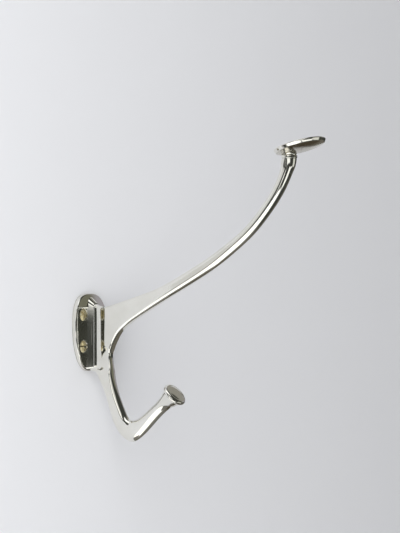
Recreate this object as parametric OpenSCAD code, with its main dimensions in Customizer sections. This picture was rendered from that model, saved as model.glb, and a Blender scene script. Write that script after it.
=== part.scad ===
// Hat and coat hook on a small wall plate. Millimetres, +Z up, the wall at Y = 0, the hook towards -Y.
// The origin is the middle of the four wall screws, on the wall.

/* [Wall plate] */
// Width of the plate
plate_w = 34; // [32:0.5:40]
// Height of the plate above the middle of the screws
plate_top = 24.5; // [23:0.5:30]
// Depth of the plate below the middle of the screws
plate_bottom = 27; // [25.5:0.5:32]
// Height at which the plate is widest
plate_waist = 4; // [0:0.5:8]
// Thickness of the two flanges that the screws pass through
plate_t = 3.4; // [3:0.1:5]
// How far the crease below the sloping top stands proud of the flanges
crease_rise = 1; // [0.4:0.1:1.4]
// Height of the crease
crease_z = 15.7; // [15.2:0.1:17.5]
// Height of the ledge under the crease
ledge_h = 1.2; // [0.8:0.1:2]
// Thickness left at the plate's top edge
top_edge_t = 3; // [2:0.1:3.2]
// Thickness left at the plate's bottom edge
bottom_edge_t = 2.4; // [1.6:0.1:3]
// Height at which the bottom of the flanges starts to slope back
bottom_slope_z = -16.5; // [-18:0.5:-15]
// Radius of the plate's rounded edge
plate_edge_r = 0.9; // [0.6:0.1:2]

/* [Wall screws] */
// Spacing of the screws across the plate
screw_dx = 17; // [16.5:0.5:19]
// Spacing of the screws up the plate
screw_dz = 21; // [18:0.5:22]
// Diameter of a screw's head
screw_head_d = 7.8; // [7:0.1:8.2]
// Diameter of a screw's shank and thread
screw_shank_d = 4.2; // [3.5:0.1:4.8]
// Diameter of the collar under the head, where the shank passes through the plate
screw_collar_d = 4.8; // [4.4:0.1:5.4]
// Length of a screw from the top of its head to its point
screw_length = 30; // [25:1:40]
// Length of plain shank behind the plate
screw_plain = 8; // [5:1:12]
// Distance from one thread crest to the next
screw_pitch = 1.8; // [1.2:0.1:2.5]
// Depth of the thread
thread_depth = 0.5; // [0.3:0.1:0.8]
// Width of the slot in a head
slot_w = 1.1; // [0.8:0.1:1.5]
// Depth of the slot in a head
slot_depth = 0.9; // [0.6:0.1:1.2]
// How far the heads lie below the flange
head_sink = 0.25; // [0.1:0.05:0.6]

/* [Hook casting] */
// Thickness of the web between the arms
web_w = 7; // [6:0.5:9]
// Height of the foot above the middle of the screws
foot_top = 21.5; // [20:0.5:22]
// Depth of the foot below the middle of the screws
foot_bottom = 24; // [22:0.5:24.5]
// Width of the foot where it stands in the plate
foot_w = 8; // [7.2:0.1:8.2]
// Distance from the wall to the top of the foot's cove
cove_top = 5.2; // [4.8:0.1:6.5]
// Depth of the seat that the foot is let into
seat_depth = 1; // [0.5:0.1:1.2]
// Number of sections along the casting between two ribs
rib_steps = 2; // [2:1:4]
// Points round each corner of a section
corner_steps = 5; // [3:1:7]

/* [Foot screws] */
// Distance between the two screws that hold the casting from behind
foot_screw_dz = 21; // [16:1:24]
// Diameter of a foot screw's thread
foot_screw_d = 3.5; // [3:0.5:4]
// Diameter of a foot screw's countersunk head
foot_head_d = 6.4; // [5.8:0.1:6.8]
// Length of a foot screw
foot_screw_length = 9; // [7:1:11]

/* [Hat disc] */
// Diameter of the disc
disc_d = 33; // [28:0.5:40]
// Thickness of the disc at its rounded rim
disc_t = 2.6; // [2:0.1:4]
// Height of the disc's shallow dome above its rim
disc_dome = 0.4; // [0.2:0.1:1.5]
// Tilt of the disc, with the outer rim raised
disc_tilt = 15.5; // [5:0.5:25]
// How far the disc's centre lies beyond the neck
disc_reach = 7.6; // [3:0.1:9]
// Height of the disc's centre above the top of the neck
disc_rise = 7.6; // [7:0.1:9]
// Diameter of the hub that stands on the collar
hub_d = 9; // [8:0.1:9.4]
// Diameter of the flare round the hub, at the disc
flare_d = 19; // [14:0.5:20]
// Diameter of the flare at its lower edge
flare_low_d = 12; // [11:0.5:13]
// Height of the flare
flare_h = 2.2; // [1.5:0.1:2.5]

/* [Neck collar] */
// Outer diameter of the collar
collar_d = 9.9; // [9.5:0.1:11]
// Thickness of the collar
collar_t = 2.4; // [1.8:0.1:3.5]
// Diameter of the stud that holds the disc
disc_stud_d = 3; // [2.5:0.1:3.2]
// Length of the stud that holds the disc
disc_stud_length = 12; // [10:0.5:13]

/* [Coat knob] */
// Diameter of the knob
knob_d = 16.8; // [15.6:0.2:20]
// Thickness of the knob at its rounded rim
knob_t = 3.4; // [2.4:0.1:4.5]
// Height of the knob's shallow dome above its rim
knob_dome = 0.7; // [0.3:0.1:2]
// Diameter of the stud that holds the knob
knob_stud_d = 4; // [3:0.1:4.5]
// Length of the stud that holds the knob
knob_stud_length = 15; // [12:0.5:16]

/* [Fits] */
// Gap between a screw and its hole, all round
screw_gap = 0.3; // [0.2:0.05:0.5]
// Gap between a screw head and its countersink, all round
head_gap = 0.35; // [0.2:0.05:0.5]
// Gap between the foot and its seat, all round
seat_gap = 0.1; // [0.05:0.05:0.2]
// Gap between a stud or foot screw and its bore, all round
bore_gap = 0.05; // [0.05:0.05:0.1]
// Gap between the end of a stud or foot screw and the bottom of its bore
bore_end_gap = 0.5; // [0.3:0.1:1]

/* [Hidden] */
$fn = 64;
NICKEL = [0.78, 0.77, 0.74];
BRASS = [0.78, 0.64, 0.33];
STEEL = [0.55, 0.56, 0.58];
// How far a cut runs past the face that it opens
OVER = 1;
// A small overlap or step that keeps two faces from meeting edge to edge
TINY = 0.01;
// How square the plate's outline is below and above its widest line: 1 is an ellipse, less is squarer
POWER_BELOW = 0.94;
POWER_ABOVE = 0.75;
// Height of the foot's straight side above the flanges, and how far its cove ends inside the web
FOOT_LIP = 0.2;
COVE_TUCK = 0.15;
// Where a thread's root starts and ends and its crest starts, as shares of the pitch
THREAD_SHAPE = [0.3, 0.6, 0.95];

// Upper left, upper right, lower left and lower right: side, height and turn of the slot
SCREW_SIDES = [[-1, 1, 40], [1, 1, 75], [-1, -1, 5], [1, -1, -50]];

// The casting runs from the neck to the knob in one sweep through these ribs. Each has its front edge as
// distance from the wall and height, its back edge likewise, its width, and its front and back edge radius.
NECK = [154, 109.5];
NECK_TURN = 88;
NECK_D = 9.4;
KNOB_BASE = [68, -41.5];
KNOB_TURN = 223;
KNOB_BASE_D = 14;
UPPER_ARM = [
    end_rib(NECK, NECK_TURN, NECK_D),
    [158, 105, 148.5, 106.5, 8.4, 4.2, 4.2],
    [156, 100.5, 148, 102.5, 7.6, 3.8, 3.8],
    [150, 88.5, 143.5, 92.5, 7.2, 3.6, 3.6],
    [140, 75, 134.5, 80, web_w, 3.5, 3.5],
    [128, 62, 123, 67.5, web_w, 3.5, 3.5],
    [113.5, 50.5, 109, 57, web_w, 3.5, 3.5],
    [98, 40, 93.5, 47, web_w, 3.1, 3.1],
    [79, 29.5, 75, 37, web_w, 2.9, 2.9],
    [60, 19.5, 56.5, 28, web_w, 2.6, 2.6],
];
WEB = [
    [42, 9.5, 36, 21.5, web_w, 2.1, 2.2],
    [34.5, 5, 24.5, 18, web_w, 2, 2],
    [27.5, -0.5, 14, 15.5, web_w, 1.8, 2],
    [22.5, -8.5, 6.5, 18, web_w, 1.8, 3],
    [21, -12, 3.5, 20.5, web_w, 1.8, 3.3],
    [20, -15, 3, 10, web_w, 1.8, 2],
    [20, -18, 3, -6, web_w, 1.8, 1],
    [20.5, -21.5, 3, -19, web_w, 1.8, 1],
    [21, -25, 3.5, -26, web_w, 1.8, 2],
];
LOWER_ARM = [
    [21.5, -29, 8.5, -27, web_w, 1.9, 2.4],
    [22.5, -33, 11, -31.5, web_w, 2, 2.4],
    [24.5, -39.5, 15.5, -40, web_w, 2.2, 2.4],
    [27, -45.5, 18, -47, web_w, 2.3, 2.4],
    [30, -52, 20.5, -54.5, web_w, 2.4, 2.6],
    [32, -56, 23, -61, web_w, 2.4, 2.8],
    [34, -58, 29, -69, web_w, 2.6, 3],
    [36.5, -58.5, 36.5, -72.5, 7.2, 3, 3.2],
    [40.5, -57.5, 43, -69.5, 7.5, 3.4, 3.5],
    [45, -54.5, 50, -63.5, 7.8, 3.8, 3.8],
    [51, -49.5, 57.5, -56, 8, 4, 4],
    [58, -43.5, 64.5, -50, 8.8, 4.4, 4.4],
    [61, -39.5, 69, -48, 11, 5.5, 5.5],
    end_rib(KNOB_BASE, KNOB_TURN, KNOB_BASE_D),
];
RIBS = concat(UPPER_ARM, WEB, LOWER_ARM);

// A round rib at a point, where the casting runs in a direction given in degrees
function end_rib(at, turn, d) =
    [at.x + sin(turn) * d / 2, at.y - cos(turn) * d / 2, at.x - sin(turn) * d / 2, at.y + cos(turn) * d / 2,
     d, d / 2, d / 2];

half_w = plate_w / 2;
plate_full_t = plate_t + crease_rise;
seat_u = plate_t - seat_depth;
head_u = plate_t - head_sink;
screw_collar_r = screw_collar_d / 2;
hole_r = screw_collar_r + screw_gap;
head_r = screw_head_d / 2;
sink_r = head_r + head_gap;
foot_r = foot_w / 2;
foot_screw_r = foot_screw_d / 2;
foot_head_r = foot_head_d / 2;
disc_stud_r = disc_stud_d / 2;
knob_stud_r = knob_stud_d / 2;
disc_mid = disc_rise - disc_reach * tan(disc_tilt);
disc_stud_up = disc_mid - bore_end_gap;
disc_stud_down = disc_stud_length - disc_stud_up;
knob_stud_up = knob_t - 2 * bore_end_gap;
knob_stud_down = knob_stud_length - knob_stud_up;
NECK_LEAN = 90 - NECK_TURN;
KNOB_LEAN = 270 - KNOB_TURN;

// Catmull-Rom curve through the rows of the table
function curve(a, b, c, d, t) =
    (2 * b + (c - a) * t + (2 * a - 5 * b + 4 * c - d) * t * t + (3 * b - a - 3 * c + d) * t * t * t) / 2;
function row(i) = RIBS[max(0, min(len(RIBS) - 1, i))];
function rib(i, t) = curve(row(i - 1), row(i), row(i + 1), row(i + 2), t);

// One section of the casting from a rib: a rectangle across the line between its edges, with round corners
function section(s) =
    let (depth = norm([s[0] - s[2], s[1] - s[3]]),
         way = [s[0] - s[2], s[1] - s[3]] / depth,
         middle = [s[0] + s[2], s[1] + s[3]] / 2)
    [for (q = [0 : 3], k = [0 : corner_steps - 1])
        let (r = min(q < 2 ? s[5] : s[6], depth / 2, s[4] / 2) - TINY,
             a = 90 * (q + k / (corner_steps - 1)),
             x = (q == 0 || q == 3 ? 1 : -1) * (s[4] / 2 - r) + r * cos(a),
             y = (q < 2 ? 1 : -1) * (depth / 2 - r) + r * sin(a))
        [x, -(middle.x + way.x * y), middle.y + way.y * y]];

// A closed skin over a row of rings with the same number of points
module skin(rings) {
    n = len(rings[0]);
    last = len(rings) - 1;
    walls = [for (i = [0 : last - 1], j = [0 : n - 1])
        let (a = i * n + j,
             b = i * n + (j + 1) % n)
        each [[a, a + n, b], [b, a + n, b + n]]];
    start = [for (j = [0 : n - 1]) j];
    end = [for (j = [n - 1 : -1 : 0]) last * n + j];
    polyhedron([for (ring = rings) each ring], concat([start, end], walls), convexity = 6);
}

// Stands a piece that is made along +Z at a point of the middle plane, leaning out of the wall
module lean(at, angle) {
    translate([0, -at.x, at.y]) rotate([angle, 0, 0]) children();
}

// Points a piece that is made along +Z out of the wall
module out_of_wall() {
    rotate([90, 0, 0]) children();
}

// The plate's outline: an ellipse below its widest line, squarer above it
function plate_side(inset, steps = 24) =
    [for (k = [0 : steps])
        let (a = 180 * k / steps - 90,
             c = k == steps ? 0 : cos(a),
             power = a < 0 ? POWER_BELOW : POWER_ABOVE,
             reach = a < 0 ? plate_bottom + plate_waist : plate_top - plate_waist)
        [(half_w - inset) * pow(c, power), plate_waist + (reach - inset) * sign(a) * pow(abs(sin(a)), power)]];
function plate_outline(inset) =
    let (right = plate_side(inset),
         top = len(right) - 1)
    concat([for (k = [1 : top]) right[k]], [for (k = [top - 1 : -1 : 0]) [-right[k].x, right[k].y]]);

// The plate seen from the side: bottom slope, flange, ledge, crease and sloping top
module plate_profile() {
    polygon([
        [OVER, -plate_bottom - OVER],
        [-bottom_edge_t, -plate_bottom - OVER],
        [-bottom_edge_t, -plate_bottom],
        [-plate_t, bottom_slope_z],
        [-plate_t, crease_z - ledge_h],
        [-plate_full_t, crease_z],
        [-top_edge_t, plate_top],
        [-top_edge_t, plate_top + OVER],
        [OVER, plate_top + OVER],
    ]);
}

// The body of the plate with its rounded edge, before it is cut to its profile
module plate_blank() {
    straight = plate_t - plate_edge_r;
    round_h = plate_full_t - straight;
    out_of_wall() linear_extrude(straight) polygon(plate_outline(0));
    skin(concat(
        [[for (p = plate_outline(2 * TINY)) [p.x, -straight / 2, p.y]]],
        [for (a = [0 : 15 : 90])
            [for (p = plate_outline(plate_edge_r * (1 - cos(a)) + TINY)) [p.x, -straight - round_h * sin(a), p.y]]]));
}

// The foot's outline seen from the front: a straight bar with round ends
module foot_outline(grow) {
    for (z = [foot_top - foot_r, foot_r - foot_bottom]) translate([0, z]) circle(foot_r + grow);
    translate([-foot_r - grow, foot_r - foot_bottom]) square([foot_w + 2 * grow, foot_top + foot_bottom - foot_w]);
}

// Half of the foot in section, as points side and out: straight in its seat, then coved into the web
function foot_half() =
    let (start = plate_t + FOOT_LIP,
         steps = 6,
         cove_in = (foot_w - web_w) / 2 + COVE_TUCK)
    concat(
        [[0, seat_u], [foot_r, seat_u]],
        [for (k = [0 : steps])
            let (a = 90 * k / steps)
            [foot_r - cove_in * sin(a), cove_top - (cove_top - start) * cos(a)]],
        [[0, cove_top]]);

module foot() {
    bottom = foot_r - foot_bottom;
    length = foot_top + foot_bottom - foot_w;
    half = foot_half();
    other = [for (k = [len(half) - 2 : -1 : 1]) [-half[k].x, half[k].y]];
    for (z = [bottom, bottom + length]) translate([0, 0, z]) out_of_wall() rotate_extrude() polygon(half);
    translate([0, 0, bottom]) mirror([0, 1, 0]) linear_extrude(length) polygon(concat(half, other));
}

module at_foot_screws() {
    for (side = [-1, 1]) translate([0, 0, side * foot_screw_dz / 2]) out_of_wall() children();
}

module wall_plate() {
    color(NICKEL) difference() {
        intersection() {
            plate_blank();
            rotate([90, 0, 90]) translate([0, 0, -half_w - OVER])
                linear_extrude(plate_w + 2 * OVER) plate_profile();
        }
        translate([0, -seat_u, 0]) out_of_wall() linear_extrude(plate_t) foot_outline(seat_gap);
        for (s = SCREW_SIDES) translate([s.x * screw_dx / 2, 0, s.y * screw_dz / 2]) out_of_wall() {
            translate([0, 0, -OVER]) cylinder(r = hole_r, h = plate_t + 2 * OVER);
            translate([0, 0, plate_t - (sink_r - hole_r)])
                cylinder(r1 = hole_r, r2 = sink_r + OVER, h = sink_r - hole_r + OVER);
        }
        at_foot_screws() {
            translate([0, 0, -OVER]) cylinder(r = foot_screw_r + screw_gap, h = plate_t + OVER);
            translate([0, 0, -OVER])
                cylinder(r1 = foot_head_r + screw_gap + OVER, r2 = foot_screw_r + screw_gap,
                         h = OVER + foot_head_r - foot_screw_r);
        }
    }
}

module hook_casting() {
    color(NICKEL) difference() {
        union() {
            skin(concat(
                [for (i = [0 : len(RIBS) - 2], k = [0 : rib_steps - 1]) section(rib(i, k / rib_steps))],
                [section(RIBS[len(RIBS) - 1])]));
            foot();
        }
        at_foot_screws() cylinder(r = foot_screw_r + bore_gap, h = foot_screw_length + bore_end_gap);
        lean(NECK, NECK_LEAN) translate([0, 0, -disc_stud_down - bore_end_gap])
            cylinder(r = disc_stud_r + bore_gap, h = disc_stud_length);
        lean(KNOB_BASE, KNOB_LEAN) translate([0, 0, -knob_stud_down - bore_end_gap])
            cylinder(r = knob_stud_r + bore_gap, h = knob_stud_length);
    }
}

// A round button with a rounded rim and a shallow dome, standing on its underside
module button(d, t, dome) {
    flat_r = d / 2 - t / 2;
    ball_r = (flat_r * flat_r + dome * dome) / (2 * dome);
    rotate_extrude() {
        translate([flat_r, t / 2]) circle(t / 2);
        square([flat_r, t]);
        intersection() {
            translate([0, t + dome - ball_r]) circle(ball_r, $fn = 720);
            translate([0, t / 2]) square([flat_r, t]);
        }
    }
}

module hat_disc() {
    color(NICKEL) difference() {
        union() {
            translate([0, -NECK.x - disc_reach, NECK.y + disc_rise]) rotate([-disc_tilt, 0, 0])
                translate([0, 0, -disc_t / 2]) {
                    button(disc_d, disc_t, disc_dome);
                    translate([0, disc_reach / cos(disc_tilt), -flare_h])
                        cylinder(d1 = flare_low_d, d2 = flare_d, h = flare_h + TINY);
                }
            lean(NECK, NECK_LEAN) cylinder(d = hub_d, h = disc_mid);
        }
        lean(NECK, NECK_LEAN) {
            translate([0, 0, -OVER]) cylinder(r = collar_d / 2 + seat_gap, h = OVER + collar_t);
            cylinder(r = disc_stud_r + bore_gap, h = disc_stud_up + bore_end_gap);
        }
    }
}

module neck_collar() {
    straight_r = (collar_d - collar_t) / 2;
    color(NICKEL) lean(NECK, NECK_LEAN) difference() {
        rotate_extrude() {
            translate([straight_r, collar_t / 2]) circle(collar_t / 2);
            square([straight_r, collar_t]);
        }
        translate([0, 0, -OVER]) cylinder(r = disc_stud_r + bore_gap, h = collar_t + 2 * OVER);
    }
}

module hat_disc_stud() {
    color(STEEL) lean(NECK, NECK_LEAN) translate([0, 0, -disc_stud_down])
        cylinder(r = disc_stud_r, h = disc_stud_length);
}

module coat_knob() {
    color(NICKEL) lean(KNOB_BASE, KNOB_LEAN) difference() {
        button(knob_d, knob_t, knob_dome);
        translate([0, 0, -OVER]) cylinder(r = knob_stud_r + bore_gap, h = OVER + knob_stud_up + bore_end_gap);
    }
}

module coat_knob_stud() {
    color(STEEL) lean(KNOB_BASE, KNOB_LEAN) translate([0, 0, -knob_stud_down])
        cylinder(r = knob_stud_r, h = knob_stud_length);
}

module foot_screw(side) {
    color(STEEL) translate([0, 0, side * foot_screw_dz / 2]) out_of_wall() difference() {
        union() {
            cylinder(r1 = foot_head_r, r2 = foot_screw_r, h = foot_head_r - foot_screw_r);
            cylinder(r = foot_screw_r, h = foot_screw_length);
        }
        translate([-foot_head_d, -slot_w / 2, -OVER]) cube([2 * foot_head_d, slot_w, OVER + slot_depth]);
    }
}

// A slotted countersunk wood screw: head at the flange, collar through the plate, shank and thread in the wall
module wall_screw(index) {
    side = SCREW_SIDES[index];
    cone_h = head_r - screw_collar_r;
    behind = screw_length - head_u;
    turns = floor((behind - screw_plain - screw_shank_d) / screw_pitch);
    shank_r = screw_shank_d / 2;
    root_r = shank_r - thread_depth;
    color(BRASS) translate([side.x * screw_dx / 2, 0, side.y * screw_dz / 2]) difference() {
        rotate([-90, 0, 0]) rotate_extrude() polygon(concat(
            [[0, -head_u], [head_r, -head_u], [screw_collar_r, cone_h - head_u], [screw_collar_r, -screw_gap],
             [shank_r, 0], [shank_r, screw_plain]],
            [for (k = [0 : turns - 1]) each [
                [root_r, screw_plain + (k + THREAD_SHAPE[0]) * screw_pitch],
                [root_r, screw_plain + (k + THREAD_SHAPE[1]) * screw_pitch],
                [shank_r, screw_plain + (k + THREAD_SHAPE[2]) * screw_pitch],
                [shank_r, screw_plain + (k + 1) * screw_pitch]]],
            [[0, behind]]));
        rotate([0, side.z, 0]) translate([-screw_head_d, -head_u - OVER, -slot_w / 2])
            cube([2 * screw_head_d, OVER + slot_depth, slot_w]);
    }
}

module wall_screw_upper_left() { wall_screw(0); }
module wall_screw_upper_right() { wall_screw(1); }
module wall_screw_lower_left() { wall_screw(2); }
module wall_screw_lower_right() { wall_screw(3); }
module foot_screw_upper() { foot_screw(1); }
module foot_screw_lower() { foot_screw(-1); }

wall_plate();
hook_casting();
hat_disc();
neck_collar();
hat_disc_stud();
coat_knob();
coat_knob_stud();
foot_screw_upper();
foot_screw_lower();
wall_screw_upper_left();
wall_screw_upper_right();
wall_screw_lower_left();
wall_screw_lower_right();
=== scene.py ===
"""Looks of the hat and coat hook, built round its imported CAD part: metres, +Z up, the wall at Y = 0."""

import math

import bmesh
import bpy
import numpy as np
from mathutils import Matrix, Vector
from mathutils.geometry import delaunay_2d_cdt


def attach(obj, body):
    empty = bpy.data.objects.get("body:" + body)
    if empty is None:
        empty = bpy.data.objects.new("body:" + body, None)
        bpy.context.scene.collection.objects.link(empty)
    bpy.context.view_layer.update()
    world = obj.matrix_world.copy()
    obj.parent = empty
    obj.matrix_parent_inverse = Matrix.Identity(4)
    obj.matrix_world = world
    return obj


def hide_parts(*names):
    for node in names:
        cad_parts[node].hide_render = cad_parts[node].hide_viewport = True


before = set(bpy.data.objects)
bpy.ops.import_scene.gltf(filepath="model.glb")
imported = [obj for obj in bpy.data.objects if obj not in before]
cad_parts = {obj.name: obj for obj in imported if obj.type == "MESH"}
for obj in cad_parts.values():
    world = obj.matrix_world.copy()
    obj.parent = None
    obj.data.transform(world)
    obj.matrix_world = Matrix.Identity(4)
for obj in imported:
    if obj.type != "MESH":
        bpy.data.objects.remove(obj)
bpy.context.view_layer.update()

MM = 0.001

# Sizes in millimetres, the main ones as in part.scad. u is the distance from the wall.
PLATE = {"half_w": 17.0, "top": 24.5, "bottom": 27.0, "waist": 4.0, "t": 3.4, "edge_r": 0.9, "back_r": 0.3,
         "power_below": 0.94, "power_above": 0.75}
# The plate's front as (height, u): a sloping bottom, a flat middle, a crease, and a roof whose crown starts softly
PLATE_PROFILE = [(-27.0, 2.4), (-16.5, PLATE["t"]), (14.5, PLATE["t"]), (15.7, 4.4), (24.5, 3.0)]
CREASE_SOFTNESS, ROOF_CROWN, ROOF_START = 0.15, 0.0022, (14.5, 16)
# Wall screws as (x, height, turn of the slot in degrees)
SCREWS = {"upper_left": (-8.5, 10.5, 40), "upper_right": (8.5, 10.5, 75),
          "lower_left": (-8.5, -10.5, 5), "lower_right": (8.5, -10.5, -50)}
HEAD_U, HEAD_R, HEAD_DOME, SINK_R, HOLE_R, SHANK_R = 3.15, 3.9, 0.9, 4.25, 2.7, 2.1
FOOT_SCREWS = (10.5, -10.5)
FOOT_SCREW_R, FOOT_SINK_R, FOOT_SINK_U, FOOT_HOLE_U = 2.05, 3.5, 1.45, 2.8
# Ends of the arms: middle (u, height), turn in degrees, diameter
NECK, NECK_TURN, NECK_D = (154.0, 109.5), 88, 9.4
KNOB_BASE, KNOB_TURN, KNOB_BASE_D = (68.0, -41.5), 223, 14.0
WEB_W = 7.0

# Angles between faces, in degrees, from which an edge is shaded sharp
SHARP_ANGLE, SHARP_ANGLE_COMBINED = 35, 30


# ------------------------------------------------------------------ mesh helpers
def new_object(name, bm):
    """An object from a bmesh in millimetres, with smooth faces and sharp edges where faces meet at an angle"""
    bmesh.ops.recalc_face_normals(bm, faces=bm.faces)
    bm.transform(Matrix.Scale(MM, 4))
    mesh = bpy.data.meshes.new(name)
    bm.to_mesh(mesh)
    bm.free()
    mesh.shade_smooth()
    mesh.set_sharp_from_angle(angle=math.radians(SHARP_ANGLE))
    made = bpy.data.objects.new(name, mesh)
    bpy.context.scene.collection.objects.link(made)
    return made


def combine(target, tool, operation):
    """Cuts the tool object out of the target or joins the two solids, and removes the tool"""
    modifier = target.modifiers.new("combine", "BOOLEAN")
    modifier.operation = operation
    modifier.solver = "EXACT"
    modifier.object = tool
    graph = bpy.context.evaluated_depsgraph_get()
    mesh = bpy.data.meshes.new_from_object(target.evaluated_get(graph))
    target.modifiers.clear()
    target.data = mesh
    bpy.data.objects.remove(tool)
    mesh.shade_smooth()
    mesh.set_sharp_from_angle(angle=math.radians(SHARP_ANGLE_COMBINED))


def turns(steps, offset=0):
    """Evenly spaced angles round a circle"""
    return [2 * math.pi * (k + offset) / steps for k in range(steps)]


def bridge(bm, rows):
    """Quads between closed rows of the same number of vertices"""
    n = len(rows[0])
    for a, b in zip(rows, rows[1:]):
        for j in range(n):
            bm.faces.new((a[j], a[(j + 1) % n], b[(j + 1) % n], b[j]))


def skin(bm, rings):
    """A closed tube through rings of points"""
    rows = [[bm.verts.new(p) for p in ring] for ring in rings]
    bridge(bm, rows)
    bm.faces.new(rows[0][::-1])
    bm.faces.new(rows[-1])


def lathe(bm, profile, steps=96):
    """Turns (radius, height) points about Z. A radius of 0 at an end closes it in one point."""
    rows = []
    for r, h in profile:
        if r == 0:
            rows.append([bm.verts.new((0, 0, h))])
        else:
            rows.append([bm.verts.new((r * math.cos(a), r * math.sin(a), h)) for a in turns(steps)])
    for a, b in zip(rows, rows[1:]):
        for j in range(steps):
            k = (j + 1) % steps
            corners = [a[j % len(a)], a[k % len(a)], b[k % len(b)], b[j % len(b)]]
            face = [v for i, v in enumerate(corners) if v not in corners[:i]]
            bm.faces.new(face)


def arc(centre, radii, start, end, steps):
    """(radius, height) points of a round or oval arc in a turned section, with angles from the outward direction"""
    return [(centre[0] + radii[0] * math.cos(math.radians(a)), centre[1] + radii[1] * math.sin(math.radians(a)))
            for a in np.linspace(start, end, steps + 1)]


def catmull(points, per_span):
    """Catmull-Rom curve through rows of numbers, with the last row kept"""
    p = np.array(points, float)
    p = np.vstack([p[:1], p, p[-1:]])
    made = []
    for i in range(1, len(p) - 2):
        a, b, c, d = p[i - 1:i + 3]
        for k in range(per_span):
            t = k / per_span
            made.append((2 * b + (c - a) * t + (2 * a - 5 * b + 4 * c - d) * t ** 2
                         + (3 * b - a - 3 * c + d) * t ** 3) / 2)
    made.append(p[-1])
    return np.array(made)


def smooth_step(low, high, x):
    """0 up to low and 1 from high, with a soft rise between, or a soft fall where high is the smaller"""
    t = min(1, max(0, (x - low) / (high - low)))
    return t * t * (3 - 2 * t)


def lean(at, angle):
    """Places a piece made along +Z at a point of the middle plane, leaning out of the wall, in millimetres"""
    return Matrix.Translation((0, -at[0], at[1])) @ Matrix.Rotation(math.radians(angle), 4, "X")


# ------------------------------------------------------------------ hook casting
def end_rib(at, turn, d):
    """The round rib that ends an arm"""
    s, c, r = math.sin(math.radians(turn)), math.cos(math.radians(turn)), d / 2
    return [at[0] + s * r, at[1] - c * r, at[0] - s * r, at[1] + c * r, d, r, r]


# Ribs from the neck down to the knob: front edge (u, height), back edge (u, height), width, front and back edge radius
RIBS = [
    end_rib(NECK, NECK_TURN, NECK_D),
    [158, 105, 148.5, 106.5, 8.4, 4.2, 4.2], [156, 100.5, 148, 102.5, 7.6, 3.8, 3.8],
    [150, 88.5, 143.5, 92.5, 7.2, 3.6, 3.6], [140, 75, 134.5, 80, WEB_W, 3.5, 3.5],
    [128, 62, 123, 67.5, WEB_W, 3.5, 3.5], [113.5, 50.5, 109, 57, WEB_W, 3.5, 3.5],
    [98, 40, 93.5, 47, WEB_W, 3.1, 3.1], [79, 29.5, 75, 37, WEB_W, 2.9, 2.9],
    [60, 19.5, 56.5, 28, WEB_W, 2.6, 2.6], [42, 9.5, 36, 21.5, WEB_W, 2.1, 2.2],
    [34.5, 5, 24.5, 18, WEB_W, 2, 2], [27.5, -0.5, 14, 15.5, WEB_W, 1.8, 2],
    [22.5, -8.5, 6.5, 18, WEB_W, 1.8, 3], [21, -12, 3.5, 20.5, WEB_W, 1.8, 3.3],
    [20, -15, 3, 10, WEB_W, 1.8, 2], [20, -18, 3, -6, WEB_W, 1.8, 1],
    [20.5, -21.5, 3, -19, WEB_W, 1.8, 1], [21, -25, 3.5, -26, WEB_W, 1.8, 2],
    [21.5, -29, 8.5, -27, WEB_W, 2.1, 2.4], [22.5, -33, 11, -31.5, WEB_W, 2.5, 2.4],
    [24.5, -39.5, 15.5, -40, WEB_W, 3, 2.4], [27, -45.5, 18, -47, WEB_W, 3.3, 2.4],
    [30, -52, 20.5, -54.5, WEB_W, 3.3, 2.6], [32, -56, 23, -61, WEB_W, 3.2, 2.8],
    [34, -58, 29, -69, WEB_W, 3, 3], [36.5, -58.5, 36.5, -72.5, 7.2, 3, 3.2],
    [40.5, -57.5, 43, -69.5, 7.5, 3.4, 3.5], [45, -54.5, 50, -63.5, 7.8, 3.8, 3.8],
    [51, -49.5, 57.5, -56, 8, 4, 4], [58, -43.5, 64.5, -50, 8.8, 4.4, 4.4],
    [61, -39.5, 69, -48, 11, 5.5, 5.5], end_rib(KNOB_BASE, KNOB_TURN, KNOB_BASE_D),
]
RIB_STEPS, CORNER_STEPS, SIDE_STEPS = 10, 9, 80
FAIRING_ROUNDS = 12
CORNER_SLACK = 0.01  # keeps a corner's radius just under half the rib, so that its sides never vanish
# The low arm lies below this height. The crown of its sides comes in and goes out over distances from the wall.
LOW_ARM_TOP, LOW_ARM_CROWN, CROWN_IN, CROWN_OUT = -30, 0.8, (30, 38), (66, 57)
# Half the web's thickness at a distance from the wall: narrower than the foot that it stands in, narrowest just
# above the foot, and out to its full width in a cove
ROOT = [(2, 2.9), (7.5, 2.9), (9.7, 2.15), (12.8, 1.9), (16.3, 3.5), (30, 3.5)]
ROOT_SOFTNESS, ROOT_SAMPLES = 0.3, 9
# Heights over which the root's shape fades out, above and below
ROOT_TOP, ROOT_BOTTOM = (23, 19), (-28, -23)
# Heights over which the cove moves out along the web, and how far
COVE_BOTTOM, COVE_STRETCH = (-9, -17), 12
# The foot that the casting stands on: a bar with drafted sides, a small shoulder, a sloping top end and a square
# bottom end. Half its width at a distance from the wall:
FOOT_SIDE = [(2.5, 4.9), (3.4, 4.55), (7.2, 3.1), (7.4, 3.0), (7.55, 2.8), (7.6, 2.4)]
# Heights of its two ends where it leaves the plate, and how far they slope inwards from there to its front
FOOT_TOP, FOOT_TOP_SLOPE, FOOT_BOTTOM, FOOT_BOTTOM_SLOPE, FOOT_SLOPE_FROM = 22, 3.8, -25.6, 0.6, 3.4
FOOT_CORNER_R = 1.2
FOOT_SIDE_ROWS, FOOT_SHOULDER_ROWS, FOOT_RING_STEPS = 18, 12, 96


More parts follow.
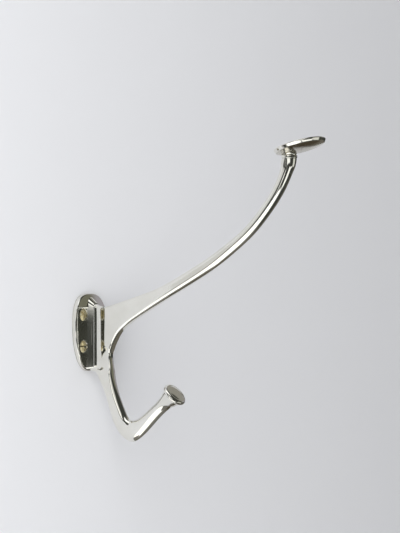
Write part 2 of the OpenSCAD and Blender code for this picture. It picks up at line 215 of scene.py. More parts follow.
def root_half_width(u, z):
    """Half the web's thickness at a distance from the wall and a height"""
    us, halves = zip(*ROOT)
    us = [*us[:-2], us[-2] + COVE_STRETCH * smooth_step(*COVE_BOTTOM, z), us[-1]]
    spread = np.linspace(-ROOT_SOFTNESS, ROOT_SOFTNESS, ROOT_SAMPLES)
    wanted = float(np.mean(np.interp([u + d for d in spread], us, halves)))
    fade = smooth_step(*ROOT_TOP, z) * smooth_step(*ROOT_BOTTOM, z)
    return WEB_W / 2 + (wanted - WEB_W / 2) * fade


def casting_section(rib):
    """One closed ring: a rectangle with round corners, and points along its sides, which are crowned on the low arm"""
    front, back, width, radii = np.array(rib[0:2]), np.array(rib[2:4]), rib[4], rib[5:7]
    u, z = (rib[0] + rib[2]) / 2, (rib[1] + rib[3]) / 2
    crown = LOW_ARM_CROWN * smooth_step(*CROWN_IN, u) * smooth_step(*CROWN_OUT, u) if z < LOW_ARM_TOP else 0
    depth = np.linalg.norm(front - back)
    way, middle = (front - back) / depth, (front + back) / 2
    front_r, back_r = (min(r, depth / 2, width / 2) - CORNER_SLACK for r in radii)
    ring = []
    for quarter, r in enumerate((front_r, front_r, back_r, back_r)):
        for k in range(CORNER_STEPS):
            a = math.radians(90 * (quarter + k / (CORNER_STEPS - 1)))
            ring.append(((1 if quarter in (0, 3) else -1) * (width / 2 - r) + r * math.cos(a),
                         (1 if quarter < 2 else -1) * (depth / 2 - r) + r * math.sin(a)))
        if quarter in (1, 3):  # from the front edge to the back edge on the left, and back on the right
            side, start = ring[-1]
            end = back_r - depth / 2 if quarter == 1 else depth / 2 - front_r
            ring += [(side, start + (end - start) * k / SIDE_STEPS) for k in range(1, SIDE_STEPS)]
    return [(x * math.sqrt(1 - crown * (2 * y / depth) ** 2), *(middle + way * y)) for x, y in ring]


def casting_foot():
    """The foot as rings that shrink away from the wall, round at the top and with two corners at the bottom"""
    us, halves = zip(*FOOT_SIDE)
    levels = np.concatenate([np.linspace(us[0], us[2], FOOT_SIDE_ROWS),
                             np.linspace(us[2], us[-1], FOOT_SHOULDER_ROWS)[1:]])
    rings = []
    for u in levels:
        half_w = float(np.interp(u, us, halves))
        share = max(0, (u - FOOT_SLOPE_FROM) / (us[-1] - FOOT_SLOPE_FROM))
        top, bottom = FOOT_TOP - FOOT_TOP_SLOPE * share, FOOT_BOTTOM + FOOT_BOTTOM_SLOPE * share
        ring = []
        for a in turns(FOOT_RING_STEPS, 0.5):
            c, s = math.cos(a), math.sin(a)
            if s > 0:
                ring.append((half_w * c, -u, top - half_w * (1 - s)))
            else:
                corner_x = math.copysign(half_w - FOOT_CORNER_R, c)
                ring.append((corner_x + FOOT_CORNER_R * c, -u, bottom + FOOT_CORNER_R * (1 + s)))
        rings.append(ring)
    bm = bmesh.new()
    skin(bm, rings)
    return new_object("foot", bm)


def hook_casting():
    """The sweep through the ribs, narrowed at its root and joined to its foot"""
    rows = catmull(RIBS, RIB_STEPS)
    for _ in range(FAIRING_ROUNDS):
        rows[1:-1] = (rows[:-2] + 2 * rows[1:-1] + rows[2:]) / 4
    bm = bmesh.new()
    skin(bm, [[(x * root_half_width(u, z) * 2 / WEB_W if u < ROOT[-1][0] and z > LOW_ARM_TOP else x, -u, z)
               for x, u, z in casting_section(rib)] for rib in rows])
    casting = new_object("hook_body", bm)
    combine(casting, casting_foot(), "UNION")
    return casting


# ------------------------------------------------------------------ wall plate
OUTLINE_STEPS, EDGE_ROWS, HOLE_STEPS, CREASE_SAMPLES = 260, 9, 64, 5
BACK_ROUND = 0.3  # where the round edge of the back passes its corner, as a share of its radius
SINK_LIP, SINK_LIP_DROP = 0.12, 0.07  # the broken edge of a countersink
TRIANGLES_INSIDE, TOLERANCE = 1, 1e-6  # what delaunay_2d_cdt gives back, and how close it takes points to be one
# Grid of points on the plate's front: its reach and step, its close rows at a crease, and how far it keeps clear
SPOT_HEIGHTS, SPOT_WIDTHS, SPOT_STEP = (-26, 23.6), (-16, 16.1), 0.8
CREASE_ROWS = (-0.3, -0.15, 0, 0.15, 0.3)
CLEAR_OF_CREASE, CLEAR_OF_EDGE, CLEAR_OF_HOLE = 0.5, 1.7, 0.25


def plate_side(above):
    """Reach of the plate's outline above or below its widest height, and its power there"""
    if above:
        return PLATE["top"] - PLATE["waist"], PLATE["power_above"]
    return PLATE["bottom"] + PLATE["waist"], PLATE["power_below"]


def plate_half_width(z):
    reach, power = plate_side(z > PLATE["waist"])
    share = min(1, abs(z - PLATE["waist"]) / reach)
    return PLATE["half_w"] * max(0, 1 - share ** (2 / power)) ** (power / 2)


def plate_height(x, z):
    """Thickness of the plate, with its creases slightly softened and its roof slightly crowned"""
    zs, us = zip(*PLATE_PROFILE)
    spread = np.linspace(-CREASE_SOFTNESS, CREASE_SOFTNESS, CREASE_SAMPLES)
    softened = float(np.mean([np.interp(z + d, zs, us) for d in spread]))
    return softened - ROOF_CROWN * x * x * smooth_step(*ROOF_START, z)


def plate_outline():
    """Points of the plate's outline as (x, z), each with its outward direction"""
    made = []
    for a in turns(OUTLINE_STEPS, 0.5):
        c, s = math.cos(a), math.sin(a)
        reach, power = plate_side(s > 0)
        point = Vector((math.copysign(PLATE["half_w"] * abs(c) ** power, c),
                        PLATE["waist"] + math.copysign(reach * abs(s) ** power, s)))
        out = Vector((math.copysign(abs(c) ** (2 - power) / PLATE["half_w"], c),
                      math.copysign(abs(s) ** (2 - power) / reach, s)))
        made.append((point, out.normalized()))
    return made


def plate_spots():
    """Points on the plate's front between its edge and the screw holes, in close rows at the creases"""
    creases = [z for z, _ in PLATE_PROFILE[1:4]]
    rows = [z for z in np.arange(*SPOT_HEIGHTS, SPOT_STEP) if all(abs(z - c) > CLEAR_OF_CREASE for c in creases)]
    rows += [c + d for c in creases for d in CREASE_ROWS]
    spots = []
    for z in rows:
        for x in np.arange(*SPOT_WIDTHS, SPOT_STEP):
            clear_of_edge = plate_half_width(z) - abs(x) > CLEAR_OF_EDGE
            clear_of_holes = all(math.hypot(x - sx, z - sz) > SINK_R + CLEAR_OF_HOLE for sx, sz, _ in SCREWS.values())
            if clear_of_edge and clear_of_holes:
                spots.append((x, z))
    return spots


def circle_row(bm, x, z, r, height):
    """A ring of vertices round a point of the plate. height gives the distance from the wall at (x, z)."""
    points = [(x + r * math.cos(a), z + r * math.sin(a)) for a in turns(HOLE_STEPS)]
    return [bm.verts.new((px, -height(px, pz), pz)) for px, pz in points]


def fill_sheet(bm, outline, holes, spots, height):
    """Triangles from a loop of vertices to round holes, through extra (x, z) spots between them"""
    known = [v for loop in [outline] + holes for v in loop]
    flat = [Vector((v.co.x, v.co.z)) for v in known] + [Vector(p) for p in spots]
    edges, start = [], 0
    for loop in [outline] + holes:
        edges += [(start + k, start + (k + 1) % len(loop)) for k in range(len(loop))]
        start += len(loop)
    points, _, faces, origins, _, _ = delaunay_2d_cdt(flat, edges, [], TRIANGLES_INSIDE, TOLERANCE)
    verts = [known[o[0]] if o[0] < len(known) else bm.verts.new((p.x, -height(p.x, p.y), p.y))
             for p, o in zip(points, origins)]
    discs = []
    for hole in holes:
        middle = sum((Vector((v.co.x, v.co.z)) for v in hole), Vector((0, 0))) / len(hole)
        discs.append((middle, (Vector((hole[0].co.x, hole[0].co.z)) - middle).length))
    for face in faces:
        centre = sum((points[i] for i in face), Vector((0, 0))) / 3
        if all((centre - middle).length > r for middle, r in discs):
            bm.faces.new([verts[i] for i in face])


def wall_plate():
    """The plate: rings of vertices round its edge, a front and a back sheet, and the walls of its holes"""
    bm = bmesh.new()
    outline, r, back_r = plate_outline(), PLATE["edge_r"], PLATE["back_r"]
    rings = [[bm.verts.new((p.x - inset * n.x, -u, p.y - inset * n.y)) for p, n in outline]
             for inset, u in [(back_r, 0), (back_r * BACK_ROUND, back_r * BACK_ROUND), (0, back_r)]]
    for a in np.radians(np.linspace(0, 90, EDGE_ROWS)):
        inset, drop = r * (1 - math.cos(a)), r * (1 - math.sin(a))
        spots = [p - n * inset for p, n in outline]
        rings.append([bm.verts.new((s.x, -(plate_height(s.x, s.y) - drop), s.y)) for s in spots])
    bridge(bm, rings)
    front_holes, back_holes = [], []
    for x, z, _ in SCREWS.values():
        walls = [circle_row(bm, x, z, radius, height) for radius, height in [
            (SINK_R + SINK_LIP, plate_height), (SINK_R, lambda x, z: plate_height(x, z) - SINK_LIP_DROP),
            (HOLE_R, lambda x, z: PLATE["t"] - (SINK_R - HOLE_R)), (HOLE_R, lambda x, z: 0)]]
        bridge(bm, walls)
        front_holes.append(walls[0])
        back_holes.append(walls[-1])
    for z in FOOT_SCREWS:
        walls = [circle_row(bm, 0, z, radius, lambda x, z, u=u: u) for radius, u in [
            (FOOT_SINK_R, 0), (FOOT_SCREW_R, FOOT_SINK_U), (FOOT_SCREW_R, FOOT_HOLE_U)]]
        bridge(bm, walls)
        bm.faces.new(walls[-1])
        back_holes.append(walls[0])
    fill_sheet(bm, rings[-1], front_holes, plate_spots(), plate_height)
    fill_sheet(bm, rings[0], back_holes, [], lambda x, z: 0)
    return new_object("plate_body", bm)


# ------------------------------------------------------------------ disc, collar, knob
DISC = {"r": 16.5, "t": 2.6, "dome": 0.4, "tilt": 15.5, "reach": 7.6, "rise": 7.42, "top_r": 0.6, "low_r": 1.0,
        "side_lean": 32, "belly": 1.9, "belly_edge": 12, "steps": 160}
# Section of the hub between the collar and the disc, as (radius, height)
HUB = [(0, 0.2), (4.3, 0.2), (4.35, 2.4), (4.5, 3.1), (4.9, 3.7), (5.6, 4.2), (6.6, 4.6), (0, 5.2)]
COLLAR = {"r": 4.95, "t": 2.4, "edge_r": 0.7}
KNOB = {"r": 8.4, "t": 3.4, "dome": 0.7, "flat_r": 6.3, "rim_h": 1.6, "rim_start": -70, "steps": 128}
DOME_STEPS = 20


def dome(r, t, height):
    """Section of a domed top, from its edge to the middle"""
    ball = (r ** 2 + height ** 2) / (2 * height)
    radii = [r * (1 - k / DOME_STEPS) for k in range(1, DOME_STEPS)]
    return [(x, t + height - ball + math.sqrt(ball ** 2 - x ** 2)) for x in radii] + [(0, t + height)]


def hat_disc():
    """The disc, whose side leans in under the edge and whose underside is bellied"""
    top_r, low_r, side_lean = DISC["top_r"], DISC["low_r"], DISC["side_lean"]
    side_h = DISC["t"] - top_r - low_r
    low_at = (DISC["r"] - low_r - side_h * math.tan(math.radians(side_lean)), low_r)
    rim = arc(low_at, (low_r, low_r), DISC["belly_edge"] - 90, -side_lean, steps=12)
    rim += arc((DISC["r"] - top_r, DISC["t"] - top_r), (top_r, top_r), -side_lean, 90, steps=16)
    edge_r, edge_h = rim[0]
    belly = [(edge_r * k / DOME_STEPS, edge_h - DISC["belly"] * (1 - (k / DOME_STEPS) ** 2))
             for k in range(DOME_STEPS)]
    bm = bmesh.new()
    lathe(bm, belly + rim + dome(DISC["r"] - top_r, DISC["t"], DISC["dome"]), DISC["steps"])
    bm.transform(Matrix.Translation((0, -NECK[0] - DISC["reach"], NECK[1] + DISC["rise"]))
                 @ Matrix.Rotation(math.radians(-DISC["tilt"]), 4, "X") @ Matrix.Translation((0, 0, -DISC["t"] / 2)))
    return new_object("hat_disc_body", bm)


def disc_hub():
    """The hub that carries the disc on the collar"""
    bm = bmesh.new()
    lathe(bm, HUB)
    bm.transform(lean(NECK, 90 - NECK_TURN))
    return new_object("hat_disc_hub", bm)


def neck_collar():
    """The collar between the arm and the hub"""
    r, t, edge_r = COLLAR["r"], COLLAR["t"], COLLAR["edge_r"]
    bm = bmesh.new()
    lathe(bm, [(0, 0)] + arc((r - edge_r, edge_r), (edge_r, edge_r), -90, 0, steps=10)
          + arc((r - edge_r, t - edge_r), (edge_r, edge_r), 0, 90, steps=10) + [(0, t)])
    bm.transform(lean(NECK, 90 - NECK_TURN))
    return new_object("neck_ring", bm)


def coat_knob():
    """The knob: a rolled rim round a domed face"""
    bulge, rim_at = KNOB["r"] - KNOB["flat_r"], (KNOB["flat_r"], KNOB["rim_h"])
    rim = arc(rim_at, (bulge, KNOB["rim_h"]), KNOB["rim_start"], 0, steps=12)[:-1]
    rim += arc(rim_at, (bulge, KNOB["t"] - KNOB["rim_h"]), 0, 90, steps=14)
    bm = bmesh.new()
    lathe(bm, [(0, 0), (rim[0][0], 0)] + rim + dome(KNOB["flat_r"], KNOB["t"], KNOB["dome"]), KNOB["steps"])
    bm.transform(lean(KNOB_BASE, 270 - KNOB_TURN))
    return new_object("coat_knob_body", bm)


# ------------------------------------------------------------------ wall screws
# Radii of the rings on a head's dome, the inset and height of its bevel, and the neck between head and shank
HEAD_RINGS, HEAD_BEVEL, HEAD_BEVEL_H, SCREW_NECK_R, SCREW_NECK_END = (0.4, 1.2, 2.0, 2.7, 3.3), 0.12, 0.1, 2.4, -0.3
SLOT = {"length": 12, "depth": 1.2, "w": 1.1}
THREAD = {"pitch": 1.8, "depth": 0.5, "start": 8.0, "run_in": 2, "flank": 0.32, "tip": 26.85, "taper": 5,
          "taper_power": 0.8, "least_r": 0.05}
SHANK_ROWS, SCREW_STEPS = (0.5, 26.8, 0.15), 40


def wall_screw(name, x, z, slot_turn):
    """A slotted countersunk wood screw with a helical thread, made along +Z into the wall"""
    head = [(r, -HEAD_U - HEAD_DOME * (1 - (r / HEAD_R) ** 2)) for r in HEAD_RINGS]
    head += [(HEAD_R - HEAD_BEVEL, -HEAD_U), (HEAD_R, -HEAD_U + HEAD_BEVEL_H)]
    head += [(SCREW_NECK_R, -HEAD_U + HEAD_R - SCREW_NECK_R), (SCREW_NECK_R, SCREW_NECK_END), (SHANK_R, 0)]
    rows = [[point] * SCREW_STEPS for point in head]
    for h in np.arange(*SHANK_ROWS):
        fade_in = min(1, max(0, (h - THREAD["start"]) / THREAD["run_in"]))
        taper = min(1, (THREAD["tip"] - h) / THREAD["taper"]) ** THREAD["taper_power"]
        row = []
        for k in range(SCREW_STEPS):
            phase = (h / THREAD["pitch"] - k / SCREW_STEPS) % 1
            crest = max(0, 1 - abs(phase - 0.5) / THREAD["flank"])
            r = (SHANK_R - THREAD["depth"] * fade_in * (1 - crest)) * taper
            row.append((max(THREAD["least_r"], r), h))
        rows.append(row)
    bm = bmesh.new()
    skin(bm, [[(r * math.cos(a), r * math.sin(a), h) for a, (r, h) in zip(turns(SCREW_STEPS), row)] for row in rows])
    bm.transform(Matrix.Translation((x, 0, z)) @ Matrix.Rotation(math.radians(-90), 4, "X"))
    screw = new_object("screw_" + name, bm)
    bm = bmesh.new()
    bmesh.ops.create_cube(bm, size=1, matrix=Matrix.Translation((x, -HEAD_U, z))
                          @ Matrix.Rotation(math.radians(slot_turn), 4, "Y")
                          @ Matrix.Diagonal((SLOT["length"], 2 * SLOT["depth"], SLOT["w"], 1)))
    combine(screw, new_object("cutter", bm), "DIFFERENCE")
    return screw


# ------------------------------------------------------------------ materials
# Ranges of pointiness that mark worn edges and tarnished hollows, and of the normal's height on an underside, which
# gets painted shade
EDGES, HOLLOWS, UNDERSIDES = (0.53, 0.6), (0.48, 0.42), (-0.86, -0.95)
EDGE_WEAR, HOLLOW_TARNISH = 0.8, 0.7
# Scratches: noise drawn out along the height, of which only the top of its range shows
SCRATCH_SCALE, SCRATCH_STRETCH, SCRATCHES, SCRATCH_HEIGHT = 900, (1, 1, 0.05), (0.62, 0.75), -0.05
# How much rougher scratches, worn edges and undersides are than the metal round them
ROUGHER_SCRATCHES, ROUGHER_EDGES, ROUGHER_UNDERSIDES = 0.1, 0.05, 0.12
BLOTCH_TONES, BLOTCH_POLISH, WAVE_SCALE = (0.35, 0.65), (0.3, 0.7), 2.2
BUMP_DISTANCE = 0.0002
# Paint: how much darker its clouds are, the scales of clouds and roller grain, roughness with its spread, and bump
CLOUD_TONE, CLOUD_SCALE, GRAIN_SCALE = 0.99, 12, 1100
PAINT_ROUGHNESS, PAINT_SPREAD, PAINT_BUMP = 0.6, 0.05, 0.04


def node_material(name):
    material = bpy.data.materials.new(name)
    material.use_nodes = True
    return material, material.node_tree.nodes, material.node_tree.links


def noise(nodes, links, scale, detail, stretch=(1, 1, 1)):
    """Noise in the piece's own metres, drawn out along one axis if wanted"""
    place = nodes.new("ShaderNodeTexCoord")
    mapping = nodes.new("ShaderNodeMapping")
    mapping.inputs["Scale"].default_value = stretch
    made = nodes.new("ShaderNodeTexNoise")
    made.inputs["Scale"].default_value = scale
    made.inputs["Detail"].default_value = detail
    links.new(place.outputs["Object"], mapping.inputs["Vector"])
    links.new(mapping.outputs["Vector"], made.inputs["Vector"])
    return made.outputs["Fac"]


def span(nodes, links, value, source, target):
    """Maps a value from one range to another, held at its ends"""
    made = nodes.new("ShaderNodeMapRange")
    made.inputs["From Min"].default_value, made.inputs["From Max"].default_value = source
    made.inputs["To Min"].default_value, made.inputs["To Max"].default_value = target
    links.new(value, made.inputs["Value"])
    return made.outputs["Result"]


def add(nodes, links, a, b):
    made = nodes.new("ShaderNodeMath")
    links.new(a, made.inputs[0])
    links.new(b, made.inputs[1])
    return made.outputs["Value"]


def two_tones(nodes, links, value, dark, light, positions):
    """A colour that runs from one tone to another as a value runs between two positions"""
    ramp = nodes.new("ShaderNodeValToRGB")
    for stop, position, tone in zip(ramp.color_ramp.elements, positions, (dark, light)):
        stop.position, stop.color = position, (*tone, 1)
    links.new(value, ramp.inputs["Fac"])
    return ramp.outputs["Color"]


def tinted(nodes, links, amount, colour, tint):
    """Mixes a tint into a colour by an amount"""
    made = nodes.new("ShaderNodeMix")
    made.data_type = "RGBA"
    made.inputs["B"].default_value = (*tint, 1)
    links.new(amount, made.inputs["Factor"])
    links.new(colour, made.inputs["A"])
    return made.outputs["Result"]


def relief(nodes, links, height, strength, shader):
    """Bump from a height on a shader"""
    made = nodes.new("ShaderNodeBump")
    made.inputs["Strength"].default_value = strength
    made.inputs["Distance"].default_value = BUMP_DISTANCE
    links.new(height, made.inputs["Height"])
    links.new(made.outputs["Normal"], shader.inputs["Normal"])


def metal(name, light, dark, worn, tarnish_and_underside_shade, rough, rough_spread, scale, bump, metallic=1):
    """Polished metal: uneven tone and polish, worn edges, tarnished hollows, undersides made rougher and painted darker
    as shade, fine scratches
    """
    material, nodes, links = node_material(name)
    shader = nodes["Principled BSDF"]
    shader.inputs["Metallic"].default_value = metallic
    blotches = noise(nodes, links, scale, detail=6)
    scratches = noise(nodes, links, SCRATCH_SCALE, detail=3, stretch=SCRATCH_STRETCH)
    shape = nodes.new("ShaderNodeNewGeometry")
    facing = nodes.new("ShaderNodeSeparateXYZ")
    links.new(shape.outputs["Normal"], facing.inputs["Vector"])
    edges = span(nodes, links, shape.outputs["Pointiness"], EDGES, (0, EDGE_WEAR))
    hollows = span(nodes, links, shape.outputs["Pointiness"], HOLLOWS, (0, HOLLOW_TARNISH))
    # Downward faces: they are painted darker and browner as shade, and made rougher
    undersides = span(nodes, links, facing.outputs["Z"], UNDERSIDES, (0, 1))

    colour = two_tones(nodes, links, blotches, dark, light, BLOTCH_TONES)
    # Hollows get tarnish; undersides get the same dark tint as painted shade
    for amount, tint in ((edges, worn), (hollows, tarnish_and_underside_shade), (undersides, tarnish_and_underside_shade)):
        colour = tinted(nodes, links, amount, colour, tint)
    links.new(colour, shader.inputs["Base Color"])

    polish = span(nodes, links, blotches, BLOTCH_POLISH, (rough, rough + rough_spread))
    for amount, source, rougher in ((scratches, SCRATCHES, ROUGHER_SCRATCHES), (edges, (0, EDGE_WEAR), ROUGHER_EDGES),
                                    (undersides, (0, 1), ROUGHER_UNDERSIDES)):
        polish = add(nodes, links, polish, span(nodes, links, amount, source, (0, rougher)))
    links.new(polish, shader.inputs["Roughness"])

    waves = noise(nodes, links, scale * WAVE_SCALE, detail=2)
    height = add(nodes, links, waves, span(nodes, links, scratches, SCRATCHES, (0, SCRATCH_HEIGHT)))
    relief(nodes, links, height, bump, shader)
    return material


def paint(name, colour):
    """Plain paint with barely visible clouds and a fine roller grain"""
    material, nodes, links = node_material(name)
    shader = nodes["Principled BSDF"]
    clouds, grain = noise(nodes, links, CLOUD_SCALE, detail=2), noise(nodes, links, GRAIN_SCALE, detail=2)
    tones = two_tones(nodes, links, clouds, [c * CLOUD_TONE for c in colour], colour, (0, 1))
    links.new(tones, shader.inputs["Base Color"])
    polish = span(nodes, links, grain, (0, 1), (PAINT_ROUGHNESS - PAINT_SPREAD, PAINT_ROUGHNESS + PAINT_SPREAD))
    links.new(polish, shader.inputs["Roughness"])
    relief(nodes, links, grain, PAINT_BUMP, shader)
    return material


# Each tarnish colour also paints shade on the metal's undersides
NICKEL = metal("nickel", light=(0.87, 0.86, 0.81), dark=(0.80, 0.79, 0.73), worn=(0.90, 0.89, 0.86),
               tarnish_and_underside_shade=(0.64, 0.61, 0.54), rough=0.05, rough_spread=0.05, scale=60, bump=0.1)
BRASS = metal("brass", light=(0.97, 0.87, 0.55), dark=(0.74, 0.60, 0.30), worn=(0.97, 0.93, 0.74),
              tarnish_and_underside_shade=(0.30, 0.23, 0.12), rough=0.12, rough_spread=0.12, scale=500, bump=0.8, metallic=0.72)
STEEL = metal("steel", light=(0.6, 0.61, 0.62), dark=(0.48, 0.49, 0.5), worn=(0.70, 0.71, 0.72),
              tarnish_and_underside_shade=(0.32, 0.31, 0.30), rough=0.3, rough_spread=0.1, scale=300, bump=0.2)


# ------------------------------------------------------------------ pieces
def finish_piece(piece, material, slot, *nodes):
    """Gives a piece its material, hangs it from the root body and hides the CAD nodes that it stands for. The slot is
    not used.
    """
    piece.data.materials.clear()
    piece.data.materials.append(material)
    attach(piece, "root")
    if nodes:
        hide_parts(*nodes)


finish_piece(hook_casting(), NICKEL, "nickel", "hook_casting")
finish_piece(wall_plate(), NICKEL, "nickel", "wall_plate")
finish_piece(hat_disc(), NICKEL, "nickel", "hat_disc")
finish_piece(disc_hub(), NICKEL, "nickel")
finish_piece(neck_collar(), NICKEL, "nickel", "neck_collar")
finish_piece(coat_knob(), NICKEL, "nickel", "coat_knob")
for name, (x, z, turn) in SCREWS.items():
    finish_piece(wall_screw(name, x, z, turn), BRASS, "brass", "wall_screw_" + name)
for name in ("hat_disc_stud", "coat_knob_stud", "foot_screw_upper", "foot_screw_lower"):
    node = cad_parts[name]
    node.data.materials.clear()
    node.data.materials.append(STEEL)


# ------------------------------------------------------------------ wall, floor and light, in metres
WALL_LEFT, WALL_RIGHT, WALL_LOW, WALL_HIGH, WALL_GAP = -0.11, 0.52, -0.22, 0.5, 0.0002
CLOSE_BY = 0.001
FLOOR_Z, FLOOR_SIZE = -0.6, 12
HOOK_MIDDLE = Vector((0, -0.08, 0.02))
LIGHT_AZIMUTH, LIGHT_ELEVATION, LIGHT_DISTANCE, LIGHT_SIZE, LIGHT_WATTS = 80, 10, 1.2, (1.2, 2.0), 37


def panel(name, centre, across, up, size, material):
    """A flat rectangle given by its middle and two directions"""
    across, up = Vector(across).normalized(), Vector(up).normalized()
    corners = [Vector(centre) + across * sx * size[0] / 2 + up * sy * size[1] / 2
               for sx, sy in ((-1, -1), (1, -1), (1, 1), (-1, 1))]
    mesh = bpy.data.meshes.new(name)
    mesh.from_pydata(corners, [], [(0, 1, 2, 3)])
    mesh.materials.append(material)
    made = bpy.data.objects.new(name, mesh)
    bpy.context.scene.collection.objects.link(made)
    return made


def one_sided(material):
    """Lets light and sight through from behind and from close by, so that the wall neither hides nor blackens the
    part's back"""
    nodes, links = material.node_tree.nodes, material.node_tree.links
    side = nodes.new("ShaderNodeNewGeometry")
    ray = nodes.new("ShaderNodeLightPath")
    close = nodes.new("ShaderNodeMath")
    close.operation = "LESS_THAN"
    close.inputs[1].default_value = CLOSE_BY
    either = nodes.new("ShaderNodeMath")
    either.operation = "MAXIMUM"
    clear = nodes.new("ShaderNodeBsdfTransparent")
    mix = nodes.new("ShaderNodeMixShader")
    links.new(ray.outputs["Ray Length"], close.inputs[0])
    links.new(side.outputs["Backfacing"], either.inputs[0])
    links.new(close.outputs["Value"], either.inputs[1])
    links.new(either.outputs["Value"], mix.inputs["Fac"])
    links.new(nodes["Principled BSDF"].outputs["BSDF"], mix.inputs[1])
    links.new(clear.outputs["BSDF"], mix.inputs[2])
    links.new(mix.outputs["Shader"], nodes["Material Output"].inputs["Surface"])
    return material


def area_light(name, place, target, size, power, colour):
    """A soft light that the polished metal doesn't mirror"""
    light = bpy.data.lights.new(name, "AREA")
    light.shape = "RECTANGLE"
    light.size, light.size_y = size
    light.energy = power
    light.color = colour
    made = bpy.data.objects.new(name, light)
    made.location = place
    made.rotation_euler = (Vector(target) - Vector(place)).to_track_quat("-Z", "Y").to_euler()
    made.visible_glossy = False
    bpy.context.scene.collection.objects.link(made)


def around(azimuth, elevation, distance):
    """A point seen from the middle of the hook, with azimuth 0 straight out of the wall and 90 to the left"""
    a, e = math.radians(azimuth), math.radians(elevation)
    return HOOK_MIDDLE + distance * Vector((-math.sin(a) * math.cos(e), -math.cos(a) * math.cos(e), math.sin(e)))


panel("wall", ((WALL_LEFT + WALL_RIGHT) / 2, WALL_GAP, (WALL_LOW + WALL_HIGH) / 2), (1, 0, 0), (0, 0, 1),
      (WALL_RIGHT - WALL_LEFT, WALL_HIGH - WALL_LOW), one_sided(paint("wall_paint", (0.84, 0.84, 0.85))))
floor = panel("floor", (0, 0, FLOOR_Z), (1, 0, 0), (0, 1, 0), (FLOOR_SIZE, FLOOR_SIZE),
              paint("floor_paint", (0.75, 0.75, 0.75)))
floor.visible_glossy = False
area_light("left_window", around(LIGHT_AZIMUTH, LIGHT_ELEVATION, LIGHT_DISTANCE), HOOK_MIDDLE, LIGHT_SIZE, LIGHT_WATTS,
           (0.97, 0.98, 1))


# ------------------------------------------------------------------ world
# What the polished metal sees of the room. Each row is an azimuth range (0 out of the wall, 90 left) with the softness
# of its edges, an elevation range with its softness, the range's slant in degrees of elevation per degree of azimuth
# left of SLANT_AZIMUTH, and a colour. A later row covers the rows before it.
SLANT_AZIMUTH = 58
ROOM_BASE = (0.05, 0.052, 0.046)
ROOM = [
    ((140, 200, 6), (-100, 100, 4), 0, (0.42, 0.42, 0.42)),       # behind the wall, for views from the back
    ((-200, -140, 6), (-100, 100, 4), 0, (0.42, 0.42, 0.42)),
    ((-200, 200, 8), (-100, -62, 10), 0, (0.19, 0.185, 0.17)),    # floor
    ((-140, -58, 8), (-85, -12, 8), 0, (0.15, 0.138, 0.115)),     # furniture on the right
    ((-135, -96, 6), (-75, -27, 6), 0, (0.07, 0.058, 0.040)),
    ((-112, -62, 6), (18, 65, 6), 0, (0.30, 0.29, 0.26)),         # lit wall on the right
    ((-80, -25, 8), (3, 20, 4), 0, (0.175, 0.172, 0.13)),
    ((-90, -57, 5), (3, 21, 4), 0, (0.36, 0.345, 0.37)),
    ((-42, -7, 6), (-24, -2, 3), 0, (0.75, 0.75, 0.70)),          # doorway ahead
    ((-9, 34, 6), (-48.5, -42, 3), -0.28, (1.3, 1.3, 1.27)),      # sunlit table on the left
    ((30, 46, 5), (-36, -28, 3), 0, (1.3, 1.3, 1.27)),
    ((38, 116, 20), (-78, -31.5, 4), 0.36, (1.6, 1.6, 1.57)),
    ((48, 96, 6), (-15, -8, 3), 0, (1.2, 1.2, 1.18)),             # its far edge
    ((36, 96, 6), (4, 25, 6), 0, (0.62, 0.62, 0.60)),             # windows on the left
    ((66, 94, 8), (2, 22, 4), 0, (1.15, 1.15, 1.13)),
    ((118, 200, 4), (-4, 90, 6), 0, (0.70, 0.70, 0.70)),          # the wall's far end
    ((10, 150, 8), (48, 88, 8), 0, (1.3, 1.3, 1.3)),              # bright ceiling on the left
]
AMBIENT_COLOUR, AMBIENT_STRENGTH = (0.93, 0.94, 0.96), 0.555


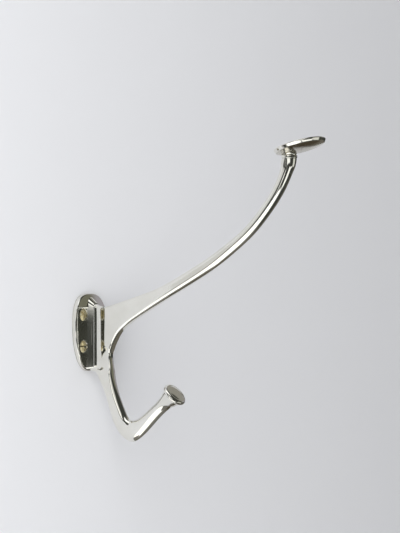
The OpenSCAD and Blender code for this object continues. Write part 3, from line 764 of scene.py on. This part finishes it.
def studio_world():
    """Pale to the eye and as ambient light; to the polished metal it is the room described above"""
    world = bpy.data.worlds.new("studio")
    bpy.context.scene.world = world
    world.use_nodes = True
    nodes, links = world.node_tree.nodes, world.node_tree.links

    def math_node(operation, a, b=0.0):
        made = nodes.new("ShaderNodeMath")
        made.operation = operation
        for socket, value in zip(made.inputs, (a, b)):
            if isinstance(value, (int, float)):
                socket.default_value = value
            else:
                links.new(value, socket)
        return made.outputs["Value"]

    def within(value, low, high, soft):
        """1 inside a range and 0 outside, with soft edges"""
        sides = []
        for start, end in ((low - soft / 2, low + soft / 2), (high + soft / 2, high - soft / 2)):
            step = nodes.new("ShaderNodeMapRange")
            step.interpolation_type = "SMOOTHSTEP"
            step.inputs["From Min"].default_value, step.inputs["From Max"].default_value = start, end
            links.new(value, step.inputs["Value"])
            sides.append(step.outputs["Result"])
        return math_node("MULTIPLY", *sides)

    place = nodes.new("ShaderNodeTexCoord")
    split = nodes.new("ShaderNodeSeparateXYZ")
    links.new(place.outputs["Generated"], split.inputs["Vector"])
    left, ahead = (math_node("MULTIPLY", split.outputs[axis], -1.0) for axis in "XY")
    azimuth = math_node("DEGREES", math_node("ARCTAN2", left, ahead))
    elevation = math_node("DEGREES", math_node("ARCSINE", split.outputs["Z"]))
    colour = nodes.new("ShaderNodeRGB").outputs["Color"]
    colour.default_value = (*ROOM_BASE, 1)
    for azimuths, elevations, slant, tone in ROOM:
        level = elevation
        if slant:
            rise = math_node("MULTIPLY", math_node("SUBTRACT", azimuth, SLANT_AZIMUTH), slant)
            level = math_node("SUBTRACT", elevation, rise)
        inside = math_node("MULTIPLY", within(azimuth, *azimuths), within(level, *elevations))
        colour = tinted(nodes, links, inside, colour, tone)
    ambient = nodes["Background"]
    ambient.inputs["Color"].default_value = (*AMBIENT_COLOUR, 1)
    ambient.inputs["Strength"].default_value = AMBIENT_STRENGTH
    room = nodes.new("ShaderNodeBackground")
    links.new(colour, room.inputs["Color"])
    ray = nodes.new("ShaderNodeLightPath")
    mix = nodes.new("ShaderNodeMixShader")
    links.new(ray.outputs["Is Glossy Ray"], mix.inputs["Fac"])
    links.new(ambient.outputs["Background"], mix.inputs[1])
    links.new(room.outputs["Background"], mix.inputs[2])
    links.new(mix.outputs["Shader"], nodes["World Output"].inputs["Surface"])


studio_world()

# ------------------------------------------------------------------ camera
# Solved from the plate's outline, the screws and the two ends of the disc in the photograph
TARGET = Vector((0, -0.0886, 0.0424))
CAMERA_SIDE = Vector((-0.848, -0.530, 0)).normalized()
CAMERA_DISTANCE = 1.2
FRAME_HEIGHT_PX, FOCUS_PX, SENSOR_MM = 533, 1875, 36
CLIP_NEAR, CLIP_FAR = 0.05, 60
camera = bpy.data.objects.new("camera", bpy.data.cameras.new("camera"))
camera.location = TARGET + CAMERA_SIDE * CAMERA_DISTANCE
camera.rotation_euler = (-CAMERA_SIDE).to_track_quat("-Z", "Y").to_euler()
camera.data.sensor_width = SENSOR_MM
camera.data.lens = SENSOR_MM * FOCUS_PX / FRAME_HEIGHT_PX
camera.data.clip_start, camera.data.clip_end = CLIP_NEAR, CLIP_FAR
bpy.context.scene.collection.objects.link(camera)
bpy.context.scene.camera = camera
bpy.context.scene.view_settings.view_transform = "Standard"
